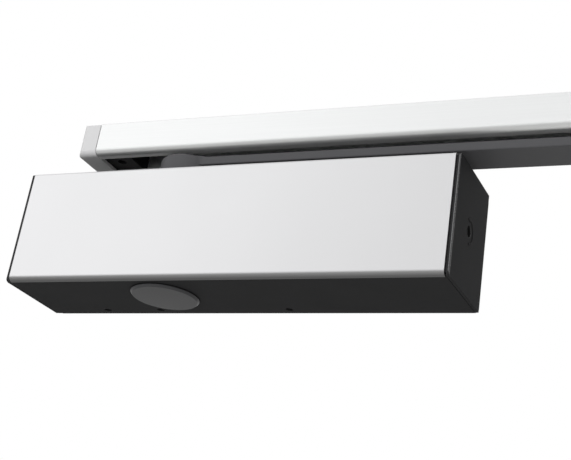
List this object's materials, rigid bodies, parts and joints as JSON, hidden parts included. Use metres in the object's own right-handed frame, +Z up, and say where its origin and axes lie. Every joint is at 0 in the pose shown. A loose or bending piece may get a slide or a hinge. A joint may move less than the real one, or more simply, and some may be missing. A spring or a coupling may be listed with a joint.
{
  "type": "overhead door closer with slide arm",
  "caption": "Surface-mounted hydraulic door closer: boxy body with silver fascia and black cover, arm on a spindle, and a guide rail for the frame.",
  "frame": {"origin": "centre of the four door fixing holes, on the back face of the mounting plate", "axes": "+X along the body from the spindle end to the spring end and along the rail, +Y into the door, +Z up"},
  "size_m": [0.4601, 0.052, 0.0962],
  "materials": {
    "black_zinc_plated_steel": "pressed, black zinc plated",
    "black_coated_casting": "die cast and black electro-coated",
    "cast_aluminium": "die cast, as cast with machined bores",
    "ground_steel": "hardened and ground",
    "turned_steel": "turned",
    "blackened_steel": "black oxide",
    "nickel_plated_brass": "turned and nickel plated",
    "turned_brass": "turned",
    "spring_steel": "oil hardened and shot peened",
    "nitrile_rubber": "moulded",
    "black_plastic": "moulded with a fine matt grain",
    "dark_grey_plastic": "moulded, satin",
    "silver_anodised_aluminium": "extruded, matt etched and clear anodised",
    "black_painted_steel": "forged and powder coated, satin black",
    "sintered_bronze": "pressed and sintered",
    "acetal": "moulded, self-lubricating",
    "light_grey_plastic": "moulded, fine matt"
  },
  "bodies": {
    "closer_body": {"mounting_plate": "black_zinc_plated_steel", "plate_screws": "black_zinc_plated_steel", "housing": "cast_aluminium", "gallery_ball": "ground_steel", "left_end_plug": "turned_steel", "right_end_plug": "turned_steel", "plug_seals": "nitrile_rubber", "upper_bearing": "ground_steel", "lower_bearing": "ground_steel", "upper_gland_ring": "turned_steel", "lower_gland_ring": "turned_steel", "upper_shaft_seal": "nitrile_rubber", "lower_shaft_seal": "nitrile_rubber", "adjusting_screw_seal": "nitrile_rubber", "valve_seals": "nitrile_rubber", "main_spring": "spring_steel", "inner_spring": "spring_steel", "cover_shell": "black_plastic", "front_fascia": "silver_anodised_aluminium", "left_end_cap": "black_plastic", "right_end_cap": "black_plastic", "spindle_cap": "dark_grey_plastic"},
    "spindle_and_arm": {"spindle": "ground_steel", "arm": "black_painted_steel", "arm_screw": "blackened_steel", "arm_bush": "sintered_bronze"},
    "piston_unit": {"piston": "turned_steel", "check_valve_seat": "turned_brass", "check_valve_ball": "ground_steel", "check_valve_pin": "ground_steel", "relief_valve": "turned_brass"},
    "spring_seat": {"spring_seat": "turned_steel"},
    "adjusting_screw": {"adjusting_screw": "blackened_steel"},
    "latching_valve": {"latching_valve": "nickel_plated_brass"},
    "closing_valve": {"closing_valve": "nickel_plated_brass"},
    "backcheck_valve": {"backcheck_valve": "nickel_plated_brass"},
    "slide_block": {"slide_block": "acetal", "thrust_washer": "acetal", "pivot_stud": "ground_steel", "retaining_ring": "ground_steel"},
    "guide_rail": {"rail": "silver_anodised_aluminium", "rail_fixing_pieces": "black_coated_casting", "rail_clamp_screws": "blackened_steel", "left_rail_cap": "light_grey_plastic", "right_rail_cap": "light_grey_plastic"}
  },
  "joints": [
    {"name": "arm_swing", "type": "hinge", "parent": "closer_body", "child": "spindle_and_arm", "pos_m": [-0.037, -0.029, 0], "axis": [0, 0, 1], "range_deg": [0, 150], "stiffness_Nm_per_rad": 4, "springref_deg": -114.59},
    {"name": "piston_travel", "type": "slide", "parent": "closer_body", "child": "piston_unit", "axis": [1, 0, 0], "range_m": [0, 0.0241], "deforming": ["main_spring", "inner_spring"]},
    {"name": "seat_travel", "type": "slide", "parent": "closer_body", "child": "spring_seat", "axis": [-1, 0, 0], "range_m": [0, 0.01], "deforming": ["main_spring", "inner_spring"]},
    {"name": "spring_adjustment", "type": "hinge", "parent": "closer_body", "child": "adjusting_screw", "pos_m": [0.1, -0.029, 0], "axis": [1, 0, 0], "range_deg": [0, 2890]},
    {"name": "latching_valve_turn", "type": "hinge", "parent": "closer_body", "child": "latching_valve", "pos_m": [-0.084, -0.0076, -0.02675], "axis": [0, 0, -1], "range_deg": [0, 720]},
    {"name": "closing_valve_turn", "type": "hinge", "parent": "closer_body", "child": "closing_valve", "pos_m": [-0.0515, -0.0076, -0.02675], "axis": [0, 0, -1], "range_deg": [0, 720]},
    {"name": "backcheck_valve_turn", "type": "hinge", "parent": "closer_body", "child": "backcheck_valve", "pos_m": [0.0233, -0.0076, -0.02675], "axis": [0, 0, -1], "range_deg": [0, 720]},
    {"name": "arm_pivot", "type": "hinge", "parent": "spindle_and_arm", "child": "slide_block", "pos_m": [0.248, -0.029, 0.03745], "axis": [0, 0, 1], "range_deg": [-75, 15]},
    {"name": "rail_slide", "type": "slide", "parent": "slide_block", "child": "guide_rail", "axis": [1, 0, 0], "range_m": [-0.045, 0.3]}
  ],
  "couplings": [
    {"joint": "piston_travel", "follows": "arm_swing", "m_per_rad": 0.009},
    {"joint": "spring_adjustment", "follows": "seat_travel", "rad_per_m": 5026.5}
  ]
}
